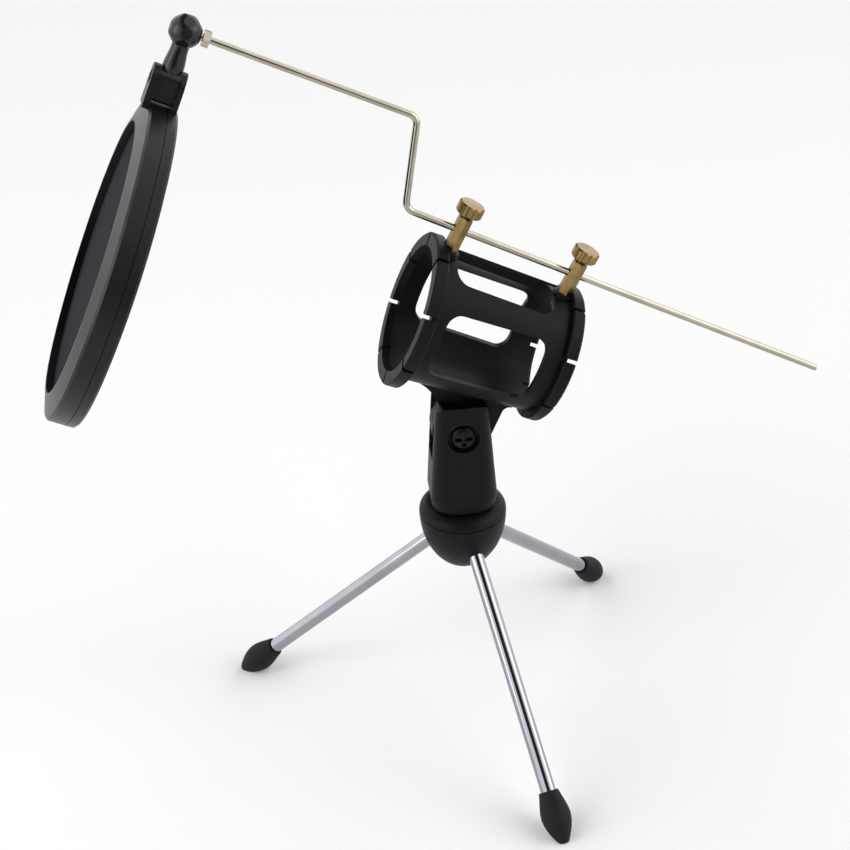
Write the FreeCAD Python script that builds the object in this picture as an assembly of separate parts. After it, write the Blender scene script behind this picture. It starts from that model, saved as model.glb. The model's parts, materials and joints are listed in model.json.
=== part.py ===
"""Pop filter on a bent steel boom, carried by a shock-mount cage on a swivel post and a mini tripod.

All sizes are in millimetres.  +Z is up and the floor is z = 0.  The origin is on the tripod's
vertical axis at floor level.  The cage and the boom's long run lie in the X-Z plane: the filter is
on the -X side, the boom's tail is on the +X side, and the filter's arm leans a little towards +Y.
"""
import FreeCAD
import Part
import math
import os

Vec = FreeCAD.Vector

# ---------------------------------------------------------------- driving dimensions
RUNNING_GAP = 0.06            # radial clearance of a shaft in its hole
FACE_GAP = 0.3                # clearance between faces that slide past each other

# tripod
FOOT_RADIUS = 113.0           # from the tripod's axis to the end of each foot
LEG_ROOT_RADIUS = 14.0        # a point on each leg's centre line, inside the hub
LEG_ROOT_Z = 90.5
LEG_DIRECTIONS = {"front": -75.5, "right": 44.5, "left": 164.5}
LEG_R = 3.45
LEG_WALL = 1.0
LEG_SPIGOT_R = 2.5
LEG_SPIGOT_LENGTH = 9.0
CAP_LENGTH = 22.5
CAP_R = 6.7
CAP_MOUTH_R = 4.3
HUB_R = 20.0
HUB_SEAM_Z = 106.0
HUB_BOTTOM_Z = 76.6
HUB_WALL = 2.6
COLLAR_TOP_Z = 111.5
COLLAR_TOP_R = 14.2
COLLAR_FLOOR_Z = 107.5
STUD_R = 4.0
STUD_HEAD_AF = 12.0
STUD_HEAD_HEIGHT = 5.0
STUD_LENGTH = 18.4

# swivel post
PIVOT_Z = 152.0
POST_FOOT_R = 13.0
POST_FOOT_Z = 108.0
POST_SHOULDER_Z = 119.0
POST_SHOULDER_WIDTH = 30.2
POST_SHOULDER_DEPTH = 27.8
POST_TOP_Z = 167.5
POST_TOP_WIDTH = 23.2
POST_TOP_DEPTH = 25.2
EAR_CORNER_R = 4.0
TONGUE_THICKNESS = 12.0
LUG_END_R = 13.2
SLOT_WIDTH = 13.4
PIVOT_SCREW_R = 2.5
PIVOT_HEAD_R = 5.4
PIVOT_RECESS_R = 7.1
PIVOT_RECESS_DEPTH = 2.6
PIVOT_NUT_AF = 8.0

# shock-mount cage, in its own frame: origin on the tilt axis, X along the cage, Z away from the post
CAGE_TILT = 24.2
CAGE_AXIS_HEIGHT = 46.5
CAGE_FRONT_X = -44.5
CAGE_REAR_X = 25.5
FRONT_FLANGE_R = 34.0
REAR_FLANGE_R = 30.6
FLANGE_THICKNESS = 5.4
BODY_FRONT_R = 29.7
BODY_REAR_R = 27.1
SHELL_WALL = 2.6
WINDOW_FRONT_X = -33.5
WINDOW_REAR_X = 12.0
WINDOW_CORNER_R = 6.0
STAVE_CENTRE = 45.0
STAVE_WIDTH = 25.0
SIDE_WINDOW_END = 121.0
NOTCH_COUNT = 8
NOTCH_OFFSET = 22.5
NOTCH_WIDTH = 1.7
NOTCH_DEPTH = 3.4
SLOT_AXIAL_DEPTH = 3.4
RAIL_HEIGHT = 1.8

# brass clamp posts and the boom they hold
FRONT_POST_X = -37.0
REAR_POST_X = 17.5
CLAMP_POST_AF = 5.9
CLAMP_POST_HEIGHT = 16.0
BORE_HEIGHT = 9.6
PAD_R = 4.7
ROD_R = 1.5
ROD_TO_CAGE_TILT = 3.1        # the boom follows the cage's taper
THUMB_HEAD_R = 5.75
THUMB_HEAD_HEIGHT = 5.0
THUMB_SHANK_R = 1.75
THUMB_NECK = 1.3
THUMB_FLUTES = 9

ROD_HEIGHT_AT_FRONT_POST = 41.3   # from the cage's axis to the boom's axis
ROD_FRONT_REACH = 25.1            # from the front clamp post to the lower bend
ROD_TAIL_REACH = 178.6            # from the front clamp post to the boom's tail
ROD_RISE = 38.3
ROD_RISE_LEAN = 11.2              # from the vertical
ROD_ARM = 88.9
ROD_ARM_SLOPE = 25.5              # below the horizontal, towards the tail
ROD_BEND_R = 4.6
ROD_THREAD_LENGTH = 9.0
BOOM_ROLL = -10.0             # the boom and the filter are turned this far about the boom's long run

# swivel head and filter, in a frame with its origin at the ball's centre
BALL_TO_ARM_END = 9.3
BALL_R = 6.7
NUT_AF = 6.3
NUT_THICKNESS = 2.8
NECK_R = 3.7
LUG_DROP = 20.8                   # from the ball's centre to the hinge screw
HEAD_LEAN = 25.5                  # the neck's lean from the vertical
KNUCKLE_THICKNESS = 8.2
KNUCKLE_WIDTH = 9.6
KNUCKLE_BELOW = 8.9               # from the hinge screw to the knuckle's round foot
KNUCKLE_ABOVE = 4.8
EAR_R = 5.7
FRONT_EAR_THICKNESS = 2.8
REAR_EAR_THICKNESS = 2.0
HINGE_SCREW_R = 1.5
HINGE_HEAD_R = 2.8
HINGE_HEAD_HEIGHT = 1.3
FILTER_R = 67.8
FILTER_DROP = 98.0                # from the ball's centre to the filter's centre
FILTER_FORWARD = -6.8             # the front lip stands this far before the neck's axis
LIP_R = 57.2
FACE_SLOPE = 2.6
RIM_DEPTH = 11.6
SEAM_DEPTH = 7.0
SEAM_CHAMFER = 0.12
RING_WALL = 1.9
MESH_THICKNESS = 0.4
MESH_RECESS = 2.9
HOOP_WALL = 1.6


# ---------------------------------------------------------------- small helpers
def cylinder(radius, length, base, axis):
    """A solid cylinder that starts at base and runs along axis."""
    return Part.makeCylinder(radius, length, base, axis)


def revolved(profile, axis_point, axis):
    """A closed profile of points turned once round an axis."""
    face = Part.Face(Part.makePolygon(profile + [profile[0]]))
    return face.revolve(axis_point, axis, 360)


def hexagon_prism(across_flats, length, base, axis):
    """A six-sided bar that starts at base and runs along axis."""
    corner_r = across_flats / math.sqrt(3)
    points = []
    for k in range(7):
        angle = math.radians(60 * k + 30)
        points.append(Vec(corner_r * math.cos(angle), corner_r * math.sin(angle), 0))
    prism = Part.Face(Part.makePolygon(points)).extrude(Vec(0, 0, length))
    prism.Placement = FreeCAD.Placement(base, FreeCAD.Rotation(Vec(0, 0, 1), axis))
    return prism


def rounded_rectangle(width, depth, corner_r, z):
    """A horizontal wire with four straight sides and four round corners."""
    x = width / 2 - corner_r
    y = depth / 2 - corner_r
    edges = []
    for k, (cx, cy) in enumerate(((x, y), (-x, y), (-x, -y), (x, -y))):
        start = math.radians(90 * k)
        points = []
        for step in (0, 1, 2):
            angle = start + math.radians(45 * step)
            points.append(Vec(cx + corner_r * math.cos(angle), cy + corner_r * math.sin(angle), z))
        edges.append(Part.Arc(*points).toShape())
    wire = []
    for k in range(4):
        wire.append(edges[k])
        end = edges[k].Vertexes[1].Point
        begin = edges[(k + 1) % 4].Vertexes[0].Point
        wire.append(Part.LineSegment(end, begin).toShape())
    return Part.Wire(wire)


def cage_place(shape):
    """Moves a shape from the cage's frame to the row frame."""
    shape.rotate(Vec(0, 0, 0), Vec(0, 1, 0), CAGE_TILT)
    shape.translate(Vec(0, 0, PIVOT_Z))
    return shape


def in_cage(x, y, z):
    """A point of the cage's frame, in the row frame."""
    tilt = math.radians(CAGE_TILT)
    return Vec(x * math.cos(tilt) + z * math.sin(tilt), y,
               PIVOT_Z - x * math.sin(tilt) + z * math.cos(tilt))


# ---------------------------------------------------------------- directions that many parts share
def slope_vector(down_deg):
    """A unit vector in the X-Z plane that points to +X and down."""
    angle = math.radians(down_deg)
    return Vec(math.cos(angle), 0, -math.sin(angle))


def lean_vector(lean_deg):
    """A unit vector in the X-Z plane that points up and leans to +X."""
    angle = math.radians(lean_deg)
    return Vec(math.sin(angle), 0, math.cos(angle))


ROD_SLOPE = CAGE_TILT + ROD_TO_CAGE_TILT
ROD_AXIS = slope_vector(ROD_SLOPE)
ROD_AT_FRONT_POST = in_cage(FRONT_POST_X, 0, CAGE_AXIS_HEIGHT + ROD_HEIGHT_AT_FRONT_POST)
LOWER_BEND = ROD_AT_FRONT_POST - ROD_AXIS * ROD_FRONT_REACH
UPPER_BEND = LOWER_BEND + lean_vector(ROD_RISE_LEAN) * ROD_RISE
ARM_AXIS = slope_vector(ROD_ARM_SLOPE)
ARM_END = UPPER_BEND - ARM_AXIS * ROD_ARM
BALL_CENTRE = ARM_END - ARM_AXIS * BALL_TO_ARM_END
HEAD_UP = lean_vector(HEAD_LEAN)
FILTER_NORMAL = slope_vector(HEAD_LEAN)
HINGE_POINT = BALL_CENTRE - HEAD_UP * LUG_DROP


def at_filter(depth, up, side=0.0):
    """A point of the filter: depth behind the front lip, up from its centre, side along Y."""
    centre = BALL_CENTRE - HEAD_UP * FILTER_DROP + FILTER_NORMAL * FILTER_FORWARD
    return centre + FILTER_NORMAL * depth + HEAD_UP * up + Vec(0, side, 0)


# ---------------------------------------------------------------- tripod
def leg_line(direction_deg):
    """The point where a leg meets its foot's end, and the unit vector up along the leg."""
    angle = math.radians(direction_deg)
    outward = Vec(math.cos(angle), math.sin(angle), 0)
    foot = outward * FOOT_RADIUS
    root = outward * LEG_ROOT_RADIUS + Vec(0, 0, LEG_ROOT_Z)
    up_leg = root - foot
    up_leg.normalize()
    return foot, up_leg


def leg_length():
    """From the foot's end to the root point inside the hub."""
    return math.hypot(FOOT_RADIUS - LEG_ROOT_RADIUS, LEG_ROOT_Z)


def leg(direction_deg):
    """A chromed steel tube with a solid threaded spigot at its upper end."""
    foot, up_leg = leg_line(direction_deg)
    start = foot + up_leg * 7.0
    top = leg_length() + 2.0
    tube = cylinder(LEG_R, top - 7.0, start, up_leg)
    tube = tube.cut(cylinder(LEG_R - LEG_WALL, top - 17.0, start, up_leg))
    spigot = cylinder(LEG_SPIGOT_R, LEG_SPIGOT_LENGTH, foot + up_leg * (top - 1.0), up_leg)
    return tube.fuse(spigot).removeSplitter()


def leg_insert(direction_deg):
    """The threaded brass insert that a leg's spigot screws into."""
    foot, up_leg = leg_line(direction_deg)
    start = foot + up_leg * (leg_length() + 2.2)
    outer = cylinder(LEG_SPIGOT_R + 1.3, 7.0, start, up_leg)
    return outer.cut(cylinder(LEG_SPIGOT_R, 7.0, start, up_leg))


def foot_cap(direction_deg):
    """A rubber foot: a thick pointed sleeve, cut flat where it stands on the floor."""
    foot, up_leg = leg_line(direction_deg)
    outline = [(0.0, 0.0), (2.2, 0.6), (4.3, 4.0), (6.0, 8.0), (CAP_R, 11.5), (6.4, 15.0),
               (5.5, 18.5), (CAP_MOUTH_R + 0.3, CAP_LENGTH - 0.6), (CAP_MOUTH_R, CAP_LENGTH)]
    side = up_leg.cross(Vec(0, 0, 1))
    side.normalize()
    across = side.cross(up_leg)
    start = foot - up_leg * 1.4
    points = [start + across * r + up_leg * (t * (CAP_LENGTH + 1.4) / CAP_LENGTH) for r, t in outline]
    curve = Part.BSplineCurve()
    curve.interpolate(points[1:-1])
    edges = [Part.LineSegment(points[0], points[1]).toShape(), curve.toShape(),
             Part.LineSegment(points[-2], points[-1]).toShape(),
             Part.LineSegment(points[-1], start + up_leg * (CAP_LENGTH + 1.4)).toShape(),
             Part.LineSegment(start + up_leg * (CAP_LENGTH + 1.4), points[0]).toShape()]
    cap = Part.Face(Part.Wire(edges)).revolve(start, up_leg, 360)
    cap = cap.cut(cylinder(LEG_R, CAP_LENGTH, foot + up_leg * 7.0, up_leg))
    below_floor = Part.makeBox(60, 60, 20, foot + Vec(-30, -30, -20))
    return cap.cut(below_floor)


def hub_profile(inset):
    """Half the outline of the bowl, from its bottom point to the seam."""
    depth = HUB_SEAM_Z - HUB_BOTTOM_Z - inset
    radius = HUB_R - inset
    points = []
    for angle_deg in range(0, 91, 10):
        angle = math.radians(angle_deg)
        points.append(Vec(radius * math.sin(angle), 0, HUB_SEAM_Z - depth * math.cos(angle)))
    return points


def hub_bowl(inset):
    """The bowl as a solid, with its top closed at the seam."""
    points = hub_profile(inset)
    curve = Part.BSplineCurve()
    curve.interpolate(points)
    edges = [curve.toShape(), Part.LineSegment(points[-1], Vec(0, 0, HUB_SEAM_Z)).toShape(),
             Part.LineSegment(Vec(0, 0, HUB_SEAM_Z), points[0]).toShape()]
    return Part.Face(Part.Wire(edges)).revolve(Vec(0, 0, 0), Vec(0, 0, 1), 360)


def hub_shell():
    """The moulded bowl: hollow, with a socket boss for each leg and a post for the stud."""
    bowl = hub_bowl(0)
    hollow = hub_bowl(HUB_WALL)
    keep = cylinder(STUD_R + 4.5, 40, Vec(0, 0, HUB_BOTTOM_Z), Vec(0, 0, 1))
    for direction in LEG_DIRECTIONS.values():
        foot, up_leg = leg_line(direction)
        keep = keep.fuse(cylinder(LEG_R + 2.2, 30, foot + up_leg * (leg_length() - 16), up_leg))
    shell = bowl.cut(hollow.cut(keep))
    for direction in LEG_DIRECTIONS.values():
        foot, up_leg = leg_line(direction)
        top = leg_length() + 2.0
        shell = shell.cut(cylinder(LEG_R, top, foot, up_leg))
        shell = shell.cut(cylinder(LEG_SPIGOT_R + 1.3, LEG_SPIGOT_LENGTH - 0.5, foot + up_leg * top, up_leg))
    stud_room = cylinder(STUD_R, 30, Vec(0, 0, HUB_SEAM_Z - 8), Vec(0, 0, 1))
    head_room = hexagon_prism(STUD_HEAD_AF, STUD_HEAD_HEIGHT, Vec(0, 0, HUB_SEAM_Z - STUD_HEAD_HEIGHT),
                              Vec(0, 0, 1))
    shell = shell.cut(stud_room.fuse(head_room))
    return shell.removeSplitter()


def hub_collar():
    """The domed cover ring on top of the bowl, which the post's foot turns in."""
    z = HUB_SEAM_Z
    inner = STUD_R + 0.1
    well = POST_FOOT_R + 0.3
    dome_start = Vec(HUB_R, 0, z + 1.0)
    dome_end = Vec(COLLAR_TOP_R + 0.9, 0, COLLAR_TOP_Z)
    outline = [dome_end, Vec(COLLAR_TOP_R, 0, COLLAR_TOP_Z), Vec(well, 0, COLLAR_TOP_Z - 0.8),
               Vec(well, 0, COLLAR_FLOOR_Z), Vec(inner, 0, COLLAR_FLOOR_Z), Vec(inner, 0, z),
               Vec(HUB_R - 0.5, 0, z), Vec(HUB_R, 0, z + 0.5), dome_start]
    edges = [Part.LineSegment(p, q).toShape() for p, q in zip(outline, outline[1:])]
    edges.append(Part.Arc(dome_start, Vec(HUB_R - 1.5, 0, z + 4.1), dome_end).toShape())
    return Part.Face(Part.Wire(edges)).revolve(Vec(0, 0, 0), Vec(0, 0, 1), 360)


def hub_stud():
    """The steel bolt that joins the tripod to the post: its head is caught in the hub."""
    base = Vec(0, 0, HUB_SEAM_Z - STUD_HEAD_HEIGHT)
    head = hexagon_prism(STUD_HEAD_AF - 0.1, STUD_HEAD_HEIGHT, base, Vec(0, 0, 1))
    shank = cylinder(STUD_R, STUD_LENGTH, base + Vec(0, 0, 1), Vec(0, 0, 1))
    shank = shank.makeChamfer(0.7, [shank.Edges[0]])
    return head.fuse(shank).removeSplitter()


# ---------------------------------------------------------------- swivel post
def post_blank():
    """The post's outer shape, before its slot and holes."""
    foot = Part.makeLoft([Part.Wire(Part.makeCircle(POST_FOOT_R - 0.6, Vec(0, 0, POST_FOOT_Z))),
                          Part.Wire(Part.makeCircle(POST_FOOT_R, Vec(0, 0, POST_FOOT_Z + 0.8))),
                          Part.Wire(Part.makeCircle(POST_FOOT_R, Vec(0, 0, POST_FOOT_Z + 5.0)))],
                         True, True)
    shoulder = Part.makeLoft([
        rounded_rectangle(28.0, 28.0, 9.5, POST_FOOT_Z + 4.6),
        rounded_rectangle(29.2, 28.2, 8.5, POST_FOOT_Z + 6.4),
        rounded_rectangle(POST_SHOULDER_WIDTH, POST_SHOULDER_DEPTH, 7.0, POST_SHOULDER_Z),
        rounded_rectangle(POST_TOP_WIDTH, POST_TOP_DEPTH, 4.6, POST_TOP_Z)], True, True)
    blank = foot.fuse(shoulder)
    round_top = ear_outline_cutter()
    return blank.cut(round_top).removeSplitter()


def ear_outline_cutter():
    """What is cut away above the ears to give them round upper corners."""
    half = POST_TOP_WIDTH / 2 + 0.15
    z = POST_TOP_Z - EAR_CORNER_R
    cutter = None
    for sign in (1, -1):
        corner = Part.makeBox(EAR_CORNER_R + 3, 40, EAR_CORNER_R + 3)
        x = (half - EAR_CORNER_R) if sign > 0 else -(half - EAR_CORNER_R) - (EAR_CORNER_R + 3)
        corner.translate(Vec(x, -20, z))
        round_bar = cylinder(EAR_CORNER_R, 40, Vec(sign * (half - EAR_CORNER_R), -20, z), Vec(0, 1, 0))
        corner = corner.cut(round_bar)
        cutter = corner if cutter is None else cutter.fuse(corner)
    return cutter


def swivel_post():
    """The moulded fork that turns on the tripod and carries the cage between its two ears."""
    post = post_blank()
    slot_floor = PIVOT_Z - 14.4
    slot = Part.makeBox(50, SLOT_WIDTH, 60, Vec(-25, -SLOT_WIDTH / 2, slot_floor))
    post = post.cut(slot)
    y_axis = Vec(0, 1, 0)
    post = post.cut(cylinder(PIVOT_SCREW_R, 60, Vec(0, -30, PIVOT_Z), y_axis))
    front_y = -ear_half_depth()
    post = post.cut(cylinder(PIVOT_RECESS_R, PIVOT_RECESS_DEPTH + 2, Vec(0, front_y - 2, PIVOT_Z), y_axis))
    nut_y = ear_half_depth() - 3.2
    post = post.cut(hexagon_prism(PIVOT_NUT_AF, 6, Vec(0, nut_y, PIVOT_Z), y_axis))
    post = post.cut(cylinder(STUD_R + 1.6, 13.0, Vec(0, 0, POST_FOOT_Z), Vec(0, 0, 1)))
    core = Part.makeLoft([rounded_rectangle(17.0, 15.0, 4.0, POST_FOOT_Z + 14.0),
                          rounded_rectangle(15.5, 13.5, 4.0, slot_floor - 3.0)], True, True)
    return post.cut(core).removeSplitter()


def ear_half_depth():
    """Half the post's depth at the height of the tilt axis."""
    share = (PIVOT_Z - POST_SHOULDER_Z) / (POST_TOP_Z - POST_SHOULDER_Z)
    return (POST_SHOULDER_DEPTH + (POST_TOP_DEPTH - POST_SHOULDER_DEPTH) * share) / 2


def post_thread_insert():
    """The brass insert in the post's foot that turns on the stud."""
    outer = cylinder(STUD_R + 1.6, 12.0, Vec(0, 0, POST_FOOT_Z + 0.4), Vec(0, 0, 1))
    return outer.cut(cylinder(STUD_R + RUNNING_GAP, 12.0, Vec(0, 0, POST_FOOT_Z + 0.4), Vec(0, 0, 1)))


def phillips_cut(centre, axis, across, arm, width, depth):
    """The cross-shaped recess of a screw head, sunk from centre along axis."""
    third = axis.cross(across)
    cross = None
    for long_side, short_side in ((across, third), (third, across)):
        box = Part.makeBox(2 * arm, width, depth)
        box.translate(Vec(-arm, -width / 2, 0))
        matrix = FreeCAD.Matrix(long_side.x, short_side.x, axis.x, centre.x,
                                long_side.y, short_side.y, axis.y, centre.y,
                                long_side.z, short_side.z, axis.z, centre.z, 0, 0, 0, 1)
        if matrix.determinant() < 0:
            matrix = FreeCAD.Matrix(long_side.x, -short_side.x, axis.x, centre.x,
                                    long_side.y, -short_side.y, axis.y, centre.y,
                                    long_side.z, -short_side.z, axis.z, centre.z, 0, 0, 0, 1)
        box = box.transformGeometry(matrix)
        cross = box if cross is None else cross.fuse(box)
    return cross


def pivot_screw():
    """The pan-head cross-recess screw that the cage tilts on."""
    seat_y = -ear_half_depth() + PIVOT_RECESS_DEPTH
    y_axis = Vec(0, 1, 0)
    head_profile = [Vec(0, seat_y, 0), Vec(PIVOT_HEAD_R, seat_y, 0), Vec(PIVOT_HEAD_R, seat_y - 1.5, 0),
                    Vec(PIVOT_HEAD_R - 0.7, seat_y - 2.2, 0), Vec(PIVOT_HEAD_R - 2.2, seat_y - 2.7, 0),
                    Vec(0, seat_y - 3.0, 0)]
    head = revolved(head_profile, Vec(0, 0, 0), y_axis)
    head.translate(Vec(0, 0, PIVOT_Z))
    shank_length = ear_half_depth() - 0.2 - seat_y
    shank = cylinder(PIVOT_SCREW_R, shank_length, Vec(0, seat_y - 0.4, PIVOT_Z), y_axis)
    recess = phillips_cut(Vec(0, seat_y - 3.4, PIVOT_Z), y_axis, Vec(1, 0, 0), 3.9, 1.8, 2.3)
    return head.fuse(shank).removeSplitter().cut(recess)


def pivot_nut():
    """The hexagon nut caught in the rear ear."""
    y = ear_half_depth() - 3.2
    nut = hexagon_prism(PIVOT_NUT_AF - 0.1, 2.9, Vec(0, y, PIVOT_Z), Vec(0, 1, 0))
    return nut.cut(cylinder(PIVOT_SCREW_R, 10, Vec(0, y - 1, PIVOT_Z), Vec(0, 1, 0)))


def pivot_washers():
    """Two thin washers that fill the gaps between the tongue and the ears."""
    thickness = (SLOT_WIDTH - TONGUE_THICKNESS) / 2 - 0.1
    washers = []
    for y in (-SLOT_WIDTH / 2, SLOT_WIDTH / 2 - thickness):
        disc = cylinder(6.5, thickness, Vec(0, y, PIVOT_Z), Vec(0, 1, 0))
        washers.append(disc.cut(cylinder(PIVOT_SCREW_R, 4, Vec(0, y - 1, PIVOT_Z), Vec(0, 1, 0))))
    return Part.makeCompound(washers)


# ---------------------------------------------------------------- shock-mount cage
def body_radius(x):
    """The outer radius of the tapered barrel at x."""
    share = (x - CAGE_FRONT_X) / (CAGE_REAR_X - CAGE_FRONT_X)
    return BODY_FRONT_R + (BODY_REAR_R - BODY_FRONT_R) * share


def cage_outline():
    """The barrel and its two flanges as one turned solid, with its bore."""
    front, rear = CAGE_FRONT_X, CAGE_REAR_X
    inner = front + FLANGE_THICKNESS
    inner_rear = rear - FLANGE_THICKNESS
    top = [(front, FRONT_FLANGE_R - 0.8), (front + 0.8, FRONT_FLANGE_R), (inner - 0.5, FRONT_FLANGE_R),
           (inner, FRONT_FLANGE_R - 0.5), (inner, body_radius(inner)),
           (inner_rear, body_radius(inner_rear)), (inner_rear, REAR_FLANGE_R - 0.5),
           (inner_rear + 0.5, REAR_FLANGE_R), (rear - 0.8, REAR_FLANGE_R), (rear, REAR_FLANGE_R - 0.8)]
    bore = [(rear, body_radius(rear) - SHELL_WALL + 0.4), (rear - 1.0, body_radius(rear) - SHELL_WALL),
            (front + 3.2, body_radius(front) - SHELL_WALL), (front, body_radius(front) - SHELL_WALL + 0.9)]
    profile = [Vec(x, 0, CAGE_AXIS_HEIGHT + r) for x, r in top + bore]
    return revolved(profile, Vec(0, 0, CAGE_AXIS_HEIGHT), Vec(1, 0, 0))


def window_cutter(first_deg, last_deg):
    """A round-cornered window through the barrel, between two angles round its axis."""
    middle = math.radians((first_deg + last_deg) / 2)
    radius = body_radius((WINDOW_FRONT_X + WINDOW_REAR_X) / 2)
    half_width = radius * math.sin(math.radians((last_deg - first_deg) / 2))
    wire = rounded_rectangle(WINDOW_REAR_X - WINDOW_FRONT_X, 2 * half_width, WINDOW_CORNER_R, 0)
    tool = Part.Face(wire).extrude(Vec(0, 0, 30))
    tool.translate(Vec((WINDOW_FRONT_X + WINDOW_REAR_X) / 2, 0, 8))
    tool.rotate(Vec(0, 0, 0), Vec(1, 0, 0), math.degrees(middle))
    tool.translate(Vec(0, 0, CAGE_AXIS_HEIGHT))
    return tool


def notch_cutters(flange_r, face_x, inward):
    """The slots that an elastic cord passes through, eight round each flange."""
    cutters = []
    bore_r = body_radius(face_x) - SHELL_WALL - 2.0
    for k in range(NOTCH_COUNT):
        angle = NOTCH_OFFSET + 360.0 / NOTCH_COUNT * k
        slot_x = face_x - 1 if inward > 0 else face_x - SLOT_AXIAL_DEPTH
        slot = Part.makeBox(SLOT_AXIAL_DEPTH + 1, NOTCH_WIDTH, flange_r + 4 - bore_r)
        slot.translate(Vec(slot_x, -NOTCH_WIDTH / 2, bore_r))
        gap = Part.makeBox(FLANGE_THICKNESS + 2, NOTCH_WIDTH, 8)
        gap_x = face_x - 1 if inward > 0 else face_x - FLANGE_THICKNESS - 1
        gap.translate(Vec(gap_x, -NOTCH_WIDTH / 2, flange_r - NOTCH_DEPTH))
        tool = slot.fuse(gap)
        tool.rotate(Vec(0, 0, 0), Vec(1, 0, 0), angle)
        tool.translate(Vec(0, 0, CAGE_AXIS_HEIGHT))
        cutters.append(tool)
    return cutters


def post_local_frame(post_x):
    """The foot and the axis of a clamp post, in the cage's frame."""
    lean = math.radians(ROD_TO_CAGE_TILT)
    up = Vec(math.sin(lean), 0, math.cos(lean))
    along = Vec(math.cos(lean), 0, -math.sin(lean))
    distance = (post_x - FRONT_POST_X) / math.cos(lean)
    on_rod = Vec(FRONT_POST_X, 0, CAGE_AXIS_HEIGHT + ROD_HEIGHT_AT_FRONT_POST) + along * distance
    return on_rod - up * BORE_HEIGHT, up


def tongue():
    """The lug under the barrel: round at the pivot, and flared forwards into the shell."""
    root_z = CAGE_AXIS_HEIGHT - 24.0
    rear_x = LUG_END_R
    edges = [
        Part.LineSegment(Vec(-34.0, 0, root_z), Vec(rear_x + 3.2, 0, root_z)).toShape(),
        Part.LineSegment(Vec(rear_x + 3.2, 0, root_z), Vec(rear_x + 3.2, 0, 18.2)).toShape(),
        Part.Arc(Vec(rear_x + 3.2, 0, 18.2), Vec(rear_x + 0.9, 0, 17.2), Vec(rear_x, 0, 14.6)).toShape(),
        Part.LineSegment(Vec(rear_x, 0, 14.6), Vec(rear_x, 0, 0)).toShape(),
        Part.Arc(Vec(rear_x, 0, 0), Vec(0, 0, -rear_x), Vec(-rear_x, 0, 0)).toShape(),
        Part.LineSegment(Vec(-rear_x, 0, 0), Vec(-rear_x, 0, 7.0)).toShape(),
        Part.Arc(Vec(-rear_x, 0, 7.0), Vec(-19.4, 0, 13.4), Vec(-34.0, 0, 17.4)).toShape(),
        Part.LineSegment(Vec(-34.0, 0, 17.4), Vec(-34.0, 0, root_z)).toShape(),
    ]
    plate = Part.Face(Part.Wire(edges)).extrude(Vec(0, TONGUE_THICKNESS, 0))
    plate.translate(Vec(0, -TONGUE_THICKNESS / 2, 0))
    return plate


def far_rail():
    """The raised rail along the outside of the upper stave on the +Y side, from flange to flange."""
    front_x = CAGE_FRONT_X + FLANGE_THICKNESS / 2
    length = CAGE_REAR_X - FLANGE_THICKNESS / 2 - front_x
    ends = [body_radius(x) + RAIL_HEIGHT for x in (front_x, front_x + length)]
    base = Vec(front_x, 0, 0)
    outer = Part.makeCone(ends[0], ends[1], length, base, Vec(1, 0, 0))
    inner = Part.makeCone(ends[0] - RAIL_HEIGHT - 1, ends[1] - RAIL_HEIGHT - 1, length, base, Vec(1, 0, 0))
    first = math.radians(STAVE_CENTRE - STAVE_WIDTH / 2 + 0.2)
    last = math.radians(STAVE_CENTRE + STAVE_WIDTH / 2 - 0.2)
    reach = 2 * FRONT_FLANGE_R
    wedge = Part.Face(Part.makePolygon([
        base, base + Vec(0, reach * math.sin(first), reach * math.cos(first)),
        base + Vec(0, reach * math.sin(last), reach * math.cos(last)), base])).extrude(Vec(length, 0, 0))
    rail = outer.cut(inner).common(wedge)
    rail.translate(Vec(0, 0, CAGE_AXIS_HEIGHT))
    return rail


def shock_cage():
    """The moulded barrel with four staves, two flanges, clamp-post pads and the tilt lug."""
    cage = cage_outline()
    bore_r = body_radius(0) - SHELL_WALL - 2.0
    lug = tongue()
    bore_clear = cylinder(bore_r + 1.4, 100, Vec(-60, 0, CAGE_AXIS_HEIGHT), Vec(1, 0, 0))
    cage = cage.fuse(lug.cut(bore_clear))
    cage = cage.fuse(far_rail())
    for post_x in (FRONT_POST_X, REAR_POST_X):
        foot, up = post_local_frame(post_x)
        pad = cylinder(PAD_R, 9.0, foot - up * 9.0, up)
        bore_start = Vec(post_x - 15, 0, CAGE_AXIS_HEIGHT)
        inside = cylinder(body_radius(post_x) - SHELL_WALL, 30, bore_start, Vec(1, 0, 0))
        cage = cage.fuse(pad.cut(inside))
    side = STAVE_CENTRE + STAVE_WIDTH / 2
    windows = ((-(STAVE_CENTRE - STAVE_WIDTH / 2), STAVE_CENTRE - STAVE_WIDTH / 2),
               (side, SIDE_WINDOW_END), (-SIDE_WINDOW_END, -side))
    for first, last in windows:
        cage = cage.cut(window_cutter(first, last))
    for tool in notch_cutters(FRONT_FLANGE_R, CAGE_FRONT_X, 1) + notch_cutters(REAR_FLANGE_R, CAGE_REAR_X, -1):
        cage = cage.cut(tool)
    for post_x in (FRONT_POST_X, REAR_POST_X):
        foot, up = post_local_frame(post_x)
        cage = cage.cut(cylinder(CLAMP_POST_AF / math.sqrt(3) + 0.1, 12, foot, up))
        cage = cage.cut(cylinder(1.3, 20, foot - up * 12, up))
        cage = cage.cut(cylinder(3.0, 8, foot - up * (post_wall(post_x) + 8 - 1.4), up))
    cage = cage.cut(cylinder(PIVOT_SCREW_R + RUNNING_GAP, 40, Vec(0, -20, 0), Vec(0, 1, 0)))
    return cage_place(cage.removeSplitter())


def post_wall(post_x):
    """How much plastic stands between a clamp post's foot and the bore."""
    return BORE_LEVEL - (body_radius(post_x) - SHELL_WALL)


BORE_LEVEL = ROD_HEIGHT_AT_FRONT_POST - BORE_HEIGHT


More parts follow.
